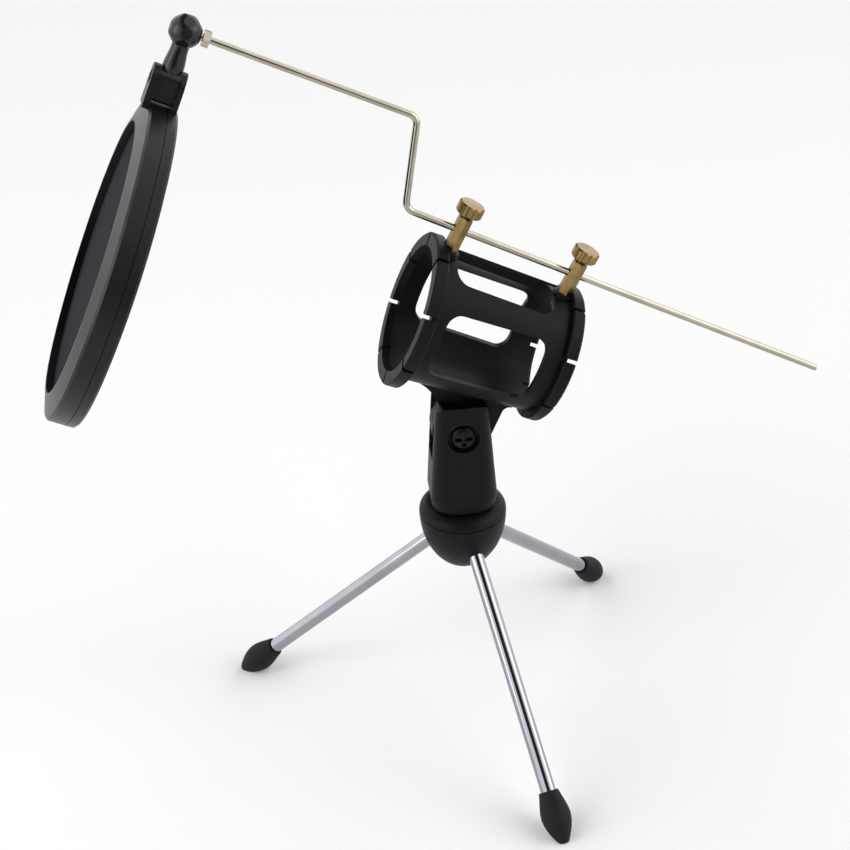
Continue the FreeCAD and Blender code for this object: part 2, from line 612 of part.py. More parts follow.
def clamp_post(post_x):
    """A six-sided brass post with a cross bore for the boom and a tapped hole from its top."""
    foot, up = post_local_frame(post_x)
    along = Vec(up.z, 0, -up.x)
    post = hexagon_prism(CLAMP_POST_AF, CLAMP_POST_HEIGHT, foot, up)
    corner_r = CLAMP_POST_AF / math.sqrt(3)
    trim = Part.makeCone(corner_r - 0.7 + CLAMP_POST_HEIGHT, corner_r - 0.7, CLAMP_POST_HEIGHT, foot, up)
    post = post.common(trim)
    bore = foot + up * BORE_HEIGHT
    post = post.cut(cylinder(ROD_R + RUNNING_GAP, 20, bore - along * 10, along))
    post = post.cut(cylinder(THUMB_SHANK_R + RUNNING_GAP, CLAMP_POST_HEIGHT, bore, up))
    post = post.cut(cylinder(1.25, 6.5, foot - up * 1.0, up))
    return cage_place(post)


def post_screws():
    """The two small screws, put in from inside the barrel, that hold the clamp posts down."""
    screws = []
    for post_x in (FRONT_POST_X, REAR_POST_X):
        foot, up = post_local_frame(post_x)
        depth = post_wall(post_x)
        shank = cylinder(1.25, depth + 4.0, foot - up * depth, up)
        head = cylinder(2.7, 1.3, foot - up * (depth - 1.4 + 1.3), up)
        recess = phillips_cut(foot - up * (depth - 0.1 + 0.4), up, Vec(0, 1, 0), 1.5, 0.7, 1.0)
        screws.append(head.fuse(shank).removeSplitter().cut(recess))
    return cage_place(Part.makeCompound(screws))


def thumb_screw(post_x):
    """A brass thumbscrew: fluted head, narrow neck and a shank that stops just above the boom."""
    foot, up = post_local_frame(post_x)
    top = foot + up * (CLAMP_POST_HEIGHT + THUMB_NECK)
    head = cylinder(THUMB_HEAD_R, THUMB_HEAD_HEIGHT, top, up)
    rims = [edge for edge in head.Edges if edge.Length > 20 and edge.Curve.TypeId == "Part::GeomCircle"]
    head = head.makeChamfer(0.6, rims)
    along = Vec(up.z, 0, -up.x)
    side = Vec(0, 1, 0)
    for k in range(THUMB_FLUTES):
        angle = 2 * math.pi * k / THUMB_FLUTES
        outward = along * math.cos(angle) + side * math.sin(angle)
        head = head.cut(cylinder(1.0, 8, top + outward * (THUMB_HEAD_R + 0.35) - up * 1, up))
    bore_top = foot + up * (BORE_HEIGHT + ROD_R + 0.3)
    shank_length = CLAMP_POST_HEIGHT + THUMB_NECK - BORE_HEIGHT - ROD_R - 0.3 + 1.0
    shank = cylinder(THUMB_SHANK_R, shank_length, bore_top, up)
    return cage_place(head.fuse(shank).removeSplitter())


# ---------------------------------------------------------------- boom
def bent_path(points, radius):
    """Straight runs through the points, joined by tangent arcs of one radius."""
    edges = []
    start = points[0]
    for before, corner, after in zip(points, points[1:], points[2:]):
        into = (corner - before).normalize()
        out = (after - corner).normalize()
        turn = into.getAngle(out)
        back = radius * math.tan(turn / 2)
        arc_start = corner - into * back
        arc_end = corner + out * back
        centre = corner + (out - into).normalize() * (radius / math.cos(turn / 2))
        middle = centre + (corner - centre).normalize() * radius
        edges.append(Part.LineSegment(start, arc_start).toShape())
        edges.append(Part.Arc(arc_start, middle, arc_end).toShape())
        start = arc_end
    edges.append(Part.LineSegment(start, points[-1]).toShape())
    return Part.Wire(edges)


def boom_rod():
    """The bent steel wire, from its threaded end in the ball to its free tail."""
    tail = ROD_AT_FRONT_POST + ROD_AXIS * ROD_TAIL_REACH
    thread_end = ARM_END - ARM_AXIS * ROD_THREAD_LENGTH
    path = bent_path([tail, LOWER_BEND, UPPER_BEND, thread_end], ROD_BEND_R)
    ring = Part.Wire(Part.makeCircle(ROD_R, tail, ROD_AXIS))
    return path.makePipeShell([ring], True, False)


def jam_nut():
    """The thin nut on the boom's thread that locks the ball."""
    base = BALL_CENTRE + ARM_AXIS * (BALL_R + 0.25)
    nut = hexagon_prism(NUT_AF, NUT_THICKNESS, base, ARM_AXIS)
    return nut.cut(cylinder(ROD_R + RUNNING_GAP, 10, base - ARM_AXIS * 2, ARM_AXIS))


# ---------------------------------------------------------------- swivel head
def octagon_bar(apothem, length, centre, axis, across):
    """A thick eight-sided bar round an axis, used to give the ball its flats."""
    third = axis.cross(across)
    corner_r = apothem / math.cos(math.radians(22.5))
    points = []
    for k in range(9):
        angle = math.radians(45 * k + 22.5)
        points.append(centre - axis * (length / 2) + across * (corner_r * math.cos(angle))
                      + third * (corner_r * math.sin(angle)))
    return Part.Face(Part.makePolygon(points)).extrude(axis * length)


def swivel_ball():
    """The moulded ball with its flats, the neck, and the knuckle that sits between the filter's ears."""
    side = Vec(0, 1, 0)
    ball = Part.makeSphere(BALL_R, BALL_CENTRE)
    for axis, across in ((side, HEAD_UP), (FILTER_NORMAL, HEAD_UP)):
        ball = ball.common(octagon_bar(BALL_R * 0.94, 4 * BALL_R, BALL_CENTRE, axis, across))
    neck_end = LUG_DROP - KNUCKLE_ABOVE + 1.5
    outline = [(NECK_R, -4.5), (NECK_R - 0.1, -8.5), (NECK_R + 0.35, -11.5), (NECK_R, -neck_end)]
    points = [BALL_CENTRE + FILTER_NORMAL * r + HEAD_UP * t for r, t in outline]
    curve = Part.BSplineCurve()
    curve.interpolate(points)
    top = BALL_CENTRE + HEAD_UP * outline[0][1]
    bottom = BALL_CENTRE + HEAD_UP * outline[-1][1]
    edges = [curve.toShape(), Part.LineSegment(points[-1], bottom).toShape(),
             Part.LineSegment(bottom, top).toShape(), Part.LineSegment(top, points[0]).toShape()]
    neck = Part.Face(Part.Wire(edges)).revolve(BALL_CENTRE, HEAD_UP, 360)
    head = ball.fuse([neck, knuckle_block()])
    head = head.cut(cylinder(ROD_R + 1.2, BALL_R + 3.2, BALL_CENTRE - ARM_AXIS * 2.6, ARM_AXIS))
    head = head.cut(cylinder(HINGE_SCREW_R + RUNNING_GAP, 20, HINGE_POINT - FILTER_NORMAL * 10, FILTER_NORMAL))
    return head.removeSplitter()


def knuckle_block():
    """The block at the foot of the neck: flat sides, a rounded top, and a foot round about the hinge."""
    height = KNUCKLE_ABOVE + KNUCKLE_BELOW
    block = Part.makeBox(KNUCKLE_THICKNESS, KNUCKLE_WIDTH, height)
    tops = [e for e in block.Edges if e.BoundBox.XLength > 1 and e.BoundBox.ZMin > height - 0.1]
    block = block.makeFillet(KNUCKLE_WIDTH * 0.36, tops)
    base = HINGE_POINT - FILTER_NORMAL * (KNUCKLE_THICKNESS / 2) - HEAD_UP * KNUCKLE_BELOW
    block.Placement = FreeCAD.Placement(base + Vec(0, -KNUCKLE_WIDTH / 2, 0),
                                        FreeCAD.Rotation(Vec(0, 1, 0), HEAD_LEAN))
    return block.common(cylinder(KNUCKLE_BELOW, 30, HINGE_POINT - FILTER_NORMAL * 15, FILTER_NORMAL))


def head_insert():
    """The threaded brass bush moulded into the ball, which turns on the boom's thread."""
    length = BALL_R * 0.88 + 2.4
    outer = cylinder(ROD_R + 1.2, length, BALL_CENTRE - ARM_AXIS * 2.5, ARM_AXIS)
    return outer.cut(cylinder(ROD_R + RUNNING_GAP, length + 2, BALL_CENTRE - ARM_AXIS * 3.5, ARM_AXIS))


# ---------------------------------------------------------------- filter
def ring_section(points):
    """A ring turned round the filter's axis from (radius, depth) points."""
    profile = [at_filter(depth, radius) for radius, depth in points]
    return revolved(profile, at_filter(0, 0), FILTER_NORMAL)


SEAM = FACE_SLOPE + SEAM_DEPTH
REAR_FACE = FACE_SLOPE + RIM_DEPTH


def lug_ear(depth, thickness):
    """One ear of the hinge lug, blended into the rim of its ring."""
    hinge_up = FILTER_DROP - LUG_DROP
    centre = at_filter(depth, hinge_up)
    ear = cylinder(EAR_R, thickness, centre, FILTER_NORMAL)
    foot = Part.makeBox(thickness, 2 * EAR_R + 2.0, hinge_up - FILTER_R + 3.0)
    foot.Placement = FreeCAD.Placement(at_filter(depth, FILTER_R - 3.0, -EAR_R - 1.0),
                                       FreeCAD.Rotation(Vec(0, 1, 0), HEAD_LEAN))
    return ear.fuse(foot)


def ear_face():
    """From the hinge's middle plane to the inner face of each ear."""
    return KNUCKLE_THICKNESS / 2 + FACE_GAP


def hinge_depth():
    """How far behind the front lip the hinge's middle plane lies."""
    return -FILTER_FORWARD


def hinge_hole(radius):
    """The hole that the hinge screw passes through."""
    return cylinder(radius, 40, HINGE_POINT - FILTER_NORMAL * 20, FILTER_NORMAL)


def filter_front_ring():
    """The front hoop: a channel with a sloping face, a mesh ledge and the front ear."""
    wall = RING_WALL
    ring = ring_section([
        (LIP_R, 0.0), (LIP_R + 1.2, 0.0), (FILTER_R - 0.9, FACE_SLOPE - 0.25), (FILTER_R, FACE_SLOPE + 0.7),
        (FILTER_R, SEAM - SEAM_CHAMFER), (FILTER_R - 0.4, SEAM), (FILTER_R - wall, SEAM),
        (FILTER_R - wall, FACE_SLOPE + wall), (LIP_R + wall, wall), (LIP_R + wall, MESH_RECESS),
        (LIP_R, MESH_RECESS)])
    ear = lug_ear(hinge_depth() - ear_face() - FRONT_EAR_THICKNESS, FRONT_EAR_THICKNESS)
    inside = cylinder(FILTER_R - wall, 40, at_filter(-10, 0), FILTER_NORMAL)
    ring = ring.fuse(ear.cut(inside)).removeSplitter()
    head_seat = HINGE_POINT - FILTER_NORMAL * (ear_face() + FRONT_EAR_THICKNESS)
    ring = ring.cut(cylinder(HINGE_HEAD_R + 0.3, HINGE_HEAD_HEIGHT + 0.5, head_seat, FILTER_NORMAL))
    return ring.cut(hinge_hole(HINGE_SCREW_R))


def filter_rear_ring():
    """The rear hoop: a shallow channel that closes the front one and carries the rear ear."""
    wall = RING_WALL
    rear = REAR_FACE
    ring = ring_section([
        (FILTER_R, SEAM + SEAM_CHAMFER), (FILTER_R, rear - 1.0), (FILTER_R - 1.0, rear),
        (LIP_R + 1.0, rear + 1.2),
        (LIP_R, rear + 0.6), (LIP_R, rear - 2.4), (LIP_R + wall, rear - 2.4), (LIP_R + wall, rear - wall + 1.2),
        (FILTER_R - wall, rear - wall), (FILTER_R - wall, SEAM), (FILTER_R - 0.4, SEAM)])
    ear = lug_ear(hinge_depth() + ear_face(), REAR_EAR_THICKNESS)
    inside = cylinder(FILTER_R - wall, 40, at_filter(-10, 0), FILTER_NORMAL)
    ring = ring.fuse(ear.cut(inside)).removeSplitter()
    return ring.cut(hinge_hole(HINGE_SCREW_R))


def mesh_disc(depth):
    """A stretched nylon screen, as a thin closed disc."""
    return cylinder(LIP_R + RING_WALL + 1.2, MESH_THICKNESS, at_filter(depth, 0), FILTER_NORMAL)


def screen_hoop():
    """The inner hoop that holds the two screens apart and against their ledges."""
    front = MESH_RECESS + MESH_THICKNESS
    rear = REAR_FACE - 2.4 - MESH_THICKNESS
    return ring_section([(LIP_R, front), (LIP_R + HOOP_WALL, front), (LIP_R + HOOP_WALL, rear), (LIP_R, rear)])


def hinge_screw():
    """The small cross-recess screw: its head is sunk in the front ear, and the rear ear holds its thread."""
    seat = HINGE_POINT - FILTER_NORMAL * (ear_face() + FRONT_EAR_THICKNESS - HINGE_HEAD_HEIGHT - 0.5)
    length = 2 * ear_face() + FRONT_EAR_THICKNESS - HINGE_HEAD_HEIGHT - 0.5 + REAR_EAR_THICKNESS - 0.2
    shank = cylinder(HINGE_SCREW_R, length, seat, FILTER_NORMAL)
    head = cylinder(HINGE_HEAD_R, HINGE_HEAD_HEIGHT, seat - FILTER_NORMAL * HINGE_HEAD_HEIGHT, FILTER_NORMAL)
    face = seat - FILTER_NORMAL * (HINGE_HEAD_HEIGHT + 0.3)
    recess = phillips_cut(face, FILTER_NORMAL, Vec(0, 1, 0), 1.6, 0.75, 1.2)
    return head.fuse(shank).removeSplitter().cut(recess)


# ---------------------------------------------------------------- all nodes
ROLLED_NODES = ("boom_rod", "jam_nut", "swivel_ball", "head_insert", "filter_front_ring", "filter_rear_ring",
                "screen_front", "screen_rear", "screen_hoop", "hinge_screw")


def build_nodes():
    """Every node of the object, by name."""
    nodes = {}
    nodes["hub_shell"] = hub_shell()
    nodes["hub_collar"] = hub_collar()
    nodes["hub_stud"] = hub_stud()
    nodes["leg_inserts"] = Part.makeCompound([leg_insert(d) for d in LEG_DIRECTIONS.values()])
    for side, direction in LEG_DIRECTIONS.items():
        nodes["leg_" + side] = leg(direction)
        nodes["foot_cap_" + side] = foot_cap(direction)
    nodes["swivel_post"] = swivel_post()
    nodes["post_thread_insert"] = post_thread_insert()
    nodes["pivot_screw"] = pivot_screw()
    nodes["pivot_nut"] = pivot_nut()
    nodes["pivot_washers"] = pivot_washers()
    nodes["shock_cage"] = shock_cage()
    nodes["clamp_post_front"] = clamp_post(FRONT_POST_X)
    nodes["clamp_post_rear"] = clamp_post(REAR_POST_X)
    nodes["post_screws"] = post_screws()
    nodes["thumb_screw_front"] = thumb_screw(FRONT_POST_X)
    nodes["thumb_screw_rear"] = thumb_screw(REAR_POST_X)
    nodes["boom_rod"] = boom_rod()
    nodes["jam_nut"] = jam_nut()
    nodes["swivel_ball"] = swivel_ball()
    nodes["head_insert"] = head_insert()
    nodes["filter_front_ring"] = filter_front_ring()
    nodes["filter_rear_ring"] = filter_rear_ring()
    nodes["screen_front"] = mesh_disc(MESH_RECESS)
    nodes["screen_rear"] = mesh_disc(REAR_FACE - 2.4 - MESH_THICKNESS)
    nodes["screen_hoop"] = screen_hoop()
    nodes["hinge_screw"] = hinge_screw()
    return nodes


def main():
    """Builds every node and writes one STEP file for each."""
    os.makedirs("parts", exist_ok=True)
    for name, shape in build_nodes().items():
        if name in ROLLED_NODES:
            shape.rotate(ROD_AT_FRONT_POST, ROD_AXIS, BOOM_ROLL)
        shape.exportStep("parts/" + name + ".step")
        print(name, shape.isValid(), len(shape.Solids), round(shape.Volume))


main()
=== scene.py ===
"""Studio view of a two-screen pop filter on a stepped boom, a shock-mount cage and a mini tripod.

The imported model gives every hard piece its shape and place.  This file gives each surface its
finish, makes the two nylon screens as stretched knit, and sets the floor, the lights and the camera.
Lengths are in millimetres where a name ends in _mm, and in metres elsewhere.
"""

import json
import logging
import math
from dataclasses import dataclass, field
from enum import Enum
from typing import Any

import bpy
from mathutils import Matrix, Vector


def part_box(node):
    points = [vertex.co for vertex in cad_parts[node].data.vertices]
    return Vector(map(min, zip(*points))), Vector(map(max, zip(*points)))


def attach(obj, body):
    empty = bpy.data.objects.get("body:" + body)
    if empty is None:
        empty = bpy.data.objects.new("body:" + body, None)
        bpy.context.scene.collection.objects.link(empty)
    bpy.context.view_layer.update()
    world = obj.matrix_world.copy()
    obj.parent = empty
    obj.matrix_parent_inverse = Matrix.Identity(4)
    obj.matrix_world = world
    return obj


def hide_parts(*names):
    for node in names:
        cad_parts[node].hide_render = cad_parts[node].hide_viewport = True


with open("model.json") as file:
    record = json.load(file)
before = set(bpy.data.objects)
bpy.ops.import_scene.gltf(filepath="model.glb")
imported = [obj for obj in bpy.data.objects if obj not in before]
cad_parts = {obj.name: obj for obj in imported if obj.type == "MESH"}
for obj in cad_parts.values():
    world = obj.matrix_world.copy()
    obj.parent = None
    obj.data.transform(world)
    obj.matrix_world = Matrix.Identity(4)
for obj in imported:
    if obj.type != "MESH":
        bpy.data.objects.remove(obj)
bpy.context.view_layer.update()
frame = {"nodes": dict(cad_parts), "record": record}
MM = 0.001
LOG = logging.getLogger("pop_filter")


class Layout(Enum):
    """Which coordinates a pattern follows."""

    SOLID = "Object"
    FLAT = "UV"


def linear(hex_colour: str) -> tuple[float, float, float, float]:
    """Turns an sRGB hex colour into linear red, green, blue and alpha.

    Args:
        hex_colour: six hex digits after a hash sign.

    Returns:
        The colour as Blender's sockets take it.
    """
    channels = [int(hex_colour[start:start + 2], 16) / 255 for start in (1, 3, 5)]
    opened = [c / 12.92 if c <= 0.04045 else ((c + 0.055) / 1.055) ** 2.4 for c in channels]
    return opened[0], opened[1], opened[2], 1.0


def per_metre(size_mm: float) -> float:
    """The texture scale whose features are size_mm across."""
    return 1.0 / (size_mm * MM)


def add(tree: bpy.types.NodeTree, kind: str, settings: dict[Any, Any] | None = None,
        links: dict[Any, bpy.types.NodeSocket] | None = None, **attributes: Any) -> bpy.types.Node:
    """Adds one node to a node tree.

    Args:
        tree: the tree it goes into.
        kind: the node's type.
        settings: a value for each named or numbered input socket.
        links: the output socket that feeds each named or numbered input socket.
        attributes: values for the node's own properties.

    Returns:
        The new node.
    """
    node = tree.nodes.new(kind)
    for name, value in attributes.items():
        setattr(node, name, value)
    for socket, value in (settings or {}).items():
        node.inputs[socket].default_value = value
    for socket, source in (links or {}).items():
        tree.links.new(source, node.inputs[socket])
    return node


def joint_axis(name: str) -> Vector:
    """The unit vector that a joint turns or slides along.

    Args:
        name: the joint's name in the record.

    Returns:
        The axis in the row frame.
    """
    for joint in frame["record"]["behaviour"]["joints"]:
        if joint["name"] == name:
            return Vector(joint["axis"]).normalized()
    raise KeyError(name)


@dataclass(frozen=True)
class Finish:
    """One real surface: its colours, its gloss and the size of its texture."""

    name: str
    colour: str
    second_colour: str
    roughness: float
    roughness_spread: float
    grain_mm: float
    relief_mm: float
    drift_mm: float = 14.0
    ior: float = 1.5
    metallic: float = 0.0
    layout: Layout = Layout.SOLID
    drift_detail: float = 4.0
    grain_detail: float = 3.0
    tone_edges: tuple[float, float] = (0.3, 0.7)

    def material(self) -> bpy.types.Material:
        """Builds the material: a slow drift of tone and gloss, over a fine relief.

        Returns:
            The finished material.
        """
        made = bpy.data.materials.new(self.name)
        made.use_nodes = True
        tree = made.node_tree
        tree.nodes.clear()
        place = add(tree, "ShaderNodeTexCoord").outputs[self.layout.value]
        shader = add(tree, "ShaderNodeBsdfPrincipled", {"Metallic": self.metallic})
        if self.metallic < 0.5:
            shader.inputs["IOR"].default_value = self.ior
        drift = add(tree, "ShaderNodeTexNoise",
                    {"Scale": per_metre(self.drift_mm), "Detail": self.drift_detail}, {"Vector": place})
        first_tone, second_tone = self.tone_edges
        tone = add(tree, "ShaderNodeMapRange", {"From Min": first_tone, "From Max": second_tone},
                   {"Value": drift.outputs["Fac"]})
        colours = add(tree, "ShaderNodeMix", {6: linear(self.colour), 7: linear(self.second_colour)},
                      {0: tone.outputs["Result"]}, data_type="RGBA")
        tree.links.new(colours.outputs[2], shader.inputs["Base Color"])
        smoothest = self.roughness - self.roughness_spread
        roughest = self.roughness + self.roughness_spread
        gloss = add(tree, "ShaderNodeMapRange", {"To Min": smoothest, "To Max": roughest},
                    {"Value": drift.outputs["Fac"]})
        tree.links.new(gloss.outputs["Result"], shader.inputs["Roughness"])
        height = self.relief(tree, place)
        bump = add(tree, "ShaderNodeBump", {"Strength": 1.0, "Distance": self.relief_mm * MM},
                   {"Height": height})
        tree.links.new(bump.outputs["Normal"], shader.inputs["Normal"])
        self.extras(tree, place, shader)
        add(tree, "ShaderNodeOutputMaterial", links={"Surface": shader.outputs["BSDF"]})
        return made

    def relief(self, tree: bpy.types.NodeTree, place: bpy.types.NodeSocket) -> bpy.types.NodeSocket:
        """The fine height pattern.

        Args:
            tree: the material's node tree.
            place: the coordinates to follow.

        Returns:
            The socket that carries the height, from 0 to 1.
        """
        grain = add(tree, "ShaderNodeTexNoise",
                    {"Scale": per_metre(self.grain_mm), "Detail": self.grain_detail}, {"Vector": place})
        return grain.outputs["Fac"]

    def extras(self, tree: bpy.types.NodeTree, place: bpy.types.NodeSocket, shader: bpy.types.Node) -> None:
        """Hook for what only some finishes have."""


@dataclass(frozen=True)
class TurnedMetal(Finish):
    """Metal off a lathe: fine rings round the turning axis."""

    axis: tuple[float, float, float] = (0.0, 0.0, 1.0)
    ring_detail: float = 1.0

    def relief(self, tree: bpy.types.NodeTree, place: bpy.types.NodeSocket) -> bpy.types.NodeSocket:
        """Rings a tool's feed apart, broken up by a little noise.

        Args:
            tree: the material's node tree.
            place: the coordinates to follow.

        Returns:
            The socket that carries the height, from 0 to 1.
        """
        along = add(tree, "ShaderNodeVectorMath", {1: self.axis}, {0: place}, operation="DOT_PRODUCT")
        rings = add(tree, "ShaderNodeTexNoise",
                    {"Scale": per_metre(self.grain_mm), "Detail": self.ring_detail},
                    {"W": along.outputs["Value"]}, noise_dimensions="1D")
        return rings.outputs["Fac"]


@dataclass(frozen=True)
class KnitNylon(Finish):
    """Warp-knit nylon tights fabric, stretched: six threads meet round each small open hole.

    The real fabric is usually finer than pitch_mm, and is drawn coarse so that its holes can show.
    The height is hole_floor in the middle of a hole, and the cloth begins hole_depth above that,
    which leaves under 3 % of it open.
    """

    layout: Layout = Layout.FLAT
    pitch_mm: float = 0.95
    hole_floor: float = -3.0
    hole_depth: float = 0.288
    thread_turns_deg: tuple[float, ...] = (0.0, 60.0, 120.0)
    sheen: float = 0.02
    sheen_roughness: float = 0.4

    def lattice(self, tree: bpy.types.NodeTree, place: bpy.types.NodeSocket) -> bpy.types.NodeSocket:
        """A height that is low at each hole and high along the threads between the holes.

        Args:
            tree: the material's node tree.
            place: coordinates in metres across the cloth.

        Returns:
            The socket that carries the height, about -3 to 1.5.
        """
        total = None
        row_mm = self.pitch_mm * math.cos(math.radians(30))
        wave = 2 * math.pi / (row_mm * MM)
        for turn_deg in self.thread_turns_deg:
            turn = math.radians(turn_deg)
            direction = (wave * math.cos(turn), wave * math.sin(turn), 0.0)
            phase = add(tree, "ShaderNodeVectorMath", {1: direction}, {0: place},
                        operation="DOT_PRODUCT")
            crest = add(tree, "ShaderNodeMath", links={0: phase.outputs["Value"]}, operation="COSINE")
            if total is None:
                total = crest.outputs["Value"]
            else:
                total = add(tree, "ShaderNodeMath", links={0: total, 1: crest.outputs["Value"]},
                            operation="ADD").outputs["Value"]
        return add(tree, "ShaderNodeMath", {0: 0.0}, {1: total}, operation="SUBTRACT").outputs["Value"]

    def relief(self, tree: bpy.types.NodeTree, place: bpy.types.NodeSocket) -> bpy.types.NodeSocket:
        """Round threads: the same lattice that opens the holes."""
        return self.lattice(tree, place)

    def extras(self, tree: bpy.types.NodeTree, place: bpy.types.NodeSocket, shader: bpy.types.Node) -> None:
        """Opens the holes and gives the threads their soft sheen.

        Args:
            tree: the material's node tree.
            place: coordinates in metres across the cloth.
            shader: the shader to dress.
        """
        shader.inputs["Sheen Weight"].default_value = self.sheen
        shader.inputs["Sheen Roughness"].default_value = self.sheen_roughness
        rim_of_holes = self.hole_floor + self.hole_depth
        solid = add(tree, "ShaderNodeMath", {1: rim_of_holes}, {0: self.lattice(tree, place)},
                    operation="GREATER_THAN")
        tree.links.new(solid.outputs["Value"], shader.inputs["Alpha"])


# ABS from a lightly spark-eroded mould: near black, with a soft satin sheen that spreads highlights.
# The three ABS finishes have IORs below the plastic's usual 1.54, matched to how dark the real mouldings look.
SATIN_ABS = Finish("satin_moulded_abs", "#0a0c0e", "#0f1114", 0.46, 0.05, 0.45, 0.010, ior=1.22)
# The same plastic from a stoned mould, for the filter's rings: a little smoother, so it mirrors the floor.
FINE_ABS = Finish("fine_moulded_abs", "#0d0e10", "#121316", 0.38, 0.04, 0.6, 0.006, ior=1.34)
# ABS from a smoother mould: small soft highlights on the ball's flats.
POLISHED_ABS = Finish("polished_moulded_abs", "#0e0f11", "#131417", 0.27, 0.03, 1.6, 0.003, ior=1.42)
# Chromium over polished steel tube: a clear, rather dark mirror, with a faint haze of handling.
CHROME_PLATE = Finish("chromium_plated_steel", "#9fa0a6", "#94959a", 0.07, 0.03, 2.5, 0.001, metallic=1.0)
# Nickel on drawn wire: slightly warm, with a blurred mirror.
NICKEL_WIRE = Finish("nickel_plated_drawn_wire", "#aeaa9a", "#9d9887", 0.16, 0.04, 0.8, 0.002, metallic=1.0)
# Zinc on small steel fasteners: pale grey, even and a little cloudy.
ZINC_PLATE = Finish("zinc_plated_steel", "#c3c4c4", "#b2b4b6", 0.30, 0.07, 0.5, 0.004, metallic=1.0)
# Turned brass with a thin tarnish: dull gold, browner where it has been handled.
TURNED_BRASS = TurnedMetal("turned_brass", "#957f53", "#796741", 0.33, 0.08, 0.35, 0.006, drift_mm=5.0,
                           metallic=1.0, axis=tuple(joint_axis("front_thumb_turn")))
# Black oxide on a steel screw: dark, a little oily, with a wide dull highlight.
BLACK_STEEL = Finish("black_oxide_steel", "#1f1f21", "#2a2a2c", 0.36, 0.06, 0.5, 0.004, metallic=1.0)
# Brass knurled inserts inside the mouldings: cleaner, because no hand reaches them.
PLAIN_BRASS = Finish("machined_brass_insert", "#c2a060", "#b39253", 0.28, 0.05, 0.4, 0.004, metallic=1.0)
# Moulded rubber: black with a dusty bloom and hardly any mirror, so its IOR is below rubber's usual 1.52.
FOOT_RUBBER = Finish("moulded_rubber", "#101113", "#18191c", 0.68, 0.07, 0.7, 0.02, drift_mm=9.0, ior=1.3)
# Moulded nylon washers: waxy and grey.
WASHER_NYLON = Finish("moulded_nylon_washer", "#2b2b2b", "#333333", 0.45, 0.04, 0.8, 0.004, ior=1.53)
# Stretched tights fabric: near black with a violet cast, and holes so small that it looks solid.
# Its IOR is below nylon's usual 1.53, matched to how dark the real screen looks.
SCREEN_KNIT = KnitNylon("stretched_nylon_knit", "#15141c", "#1b1a23", 0.7, 0.05, 1.1, 0.04, ior=1.12)


class Wardrobe:
    """Keeps one material for each finish, so that alike pieces share it."""

    def __init__(self) -> None:
        """Starts with no materials."""
        self.made: dict[str, bpy.types.Material] = {}

    def dress(self, piece: bpy.types.Object, finish: Finish) -> None:
        """Puts a finish on a piece, in every material slot that it has.

        Args:
            piece: a CAD node's object or a new piece.
            finish: what its surface is.
        """
        if finish.name not in self.made:
            self.made[finish.name] = finish.material()
        if not piece.material_slots:
            piece.data.materials.append(self.made[finish.name])
        for material_slot in piece.material_slots:
            material_slot.material = self.made[finish.name]
        LOG.info("%s wears %s", piece.name, finish.name)


@dataclass
class SubAssembly:
    """Pieces that belong together, and which finish each of them has."""

    wardrobe: Wardrobe
    finishes: dict[str, Finish] = field(default_factory=dict)

    def build(self) -> None:
        """Dresses every CAD node of the sub-assembly."""
        for node, finish in self.finishes.items():
            self.wardrobe.dress(frame["nodes"][node], finish)


@dataclass
class Tripod(SubAssembly):
    """The hub with its cover ring, and three chromed legs on rubber feet."""

    finishes: dict[str, Finish] = field(default_factory=lambda: {
        "hub_shell": SATIN_ABS, "hub_collar": SATIN_ABS, "hub_stud": ZINC_PLATE, "leg_inserts": PLAIN_BRASS,
        "leg_front": CHROME_PLATE, "leg_right": CHROME_PLATE, "leg_left": CHROME_PLATE,
        "foot_cap_front": FOOT_RUBBER, "foot_cap_right": FOOT_RUBBER, "foot_cap_left": FOOT_RUBBER})


@dataclass
class SwivelPost(SubAssembly):
    """The fork that turns on the tripod, with its tilt screw."""

    finishes: dict[str, Finish] = field(default_factory=lambda: {
        "swivel_post": SATIN_ABS, "post_thread_insert": PLAIN_BRASS, "pivot_screw": BLACK_STEEL,
        "pivot_nut": BLACK_STEEL, "pivot_washers": WASHER_NYLON})


@dataclass
class ShockCage(SubAssembly):
    """The open barrel, and the brass clamp posts on top of it."""

    finishes: dict[str, Finish] = field(default_factory=lambda: {
        "shock_cage": SATIN_ABS, "clamp_post_front": TURNED_BRASS, "clamp_post_rear": TURNED_BRASS,
        "post_screws": ZINC_PLATE, "thumb_screw_front": TURNED_BRASS, "thumb_screw_rear": TURNED_BRASS})


@dataclass
class Boom(SubAssembly):
    """The bent wire, its jam nut and the swivel head on its end."""

    finishes: dict[str, Finish] = field(default_factory=lambda: {
        "boom_rod": NICKEL_WIRE, "jam_nut": NICKEL_WIRE, "swivel_ball": POLISHED_ABS,
        "head_insert": PLAIN_BRASS})


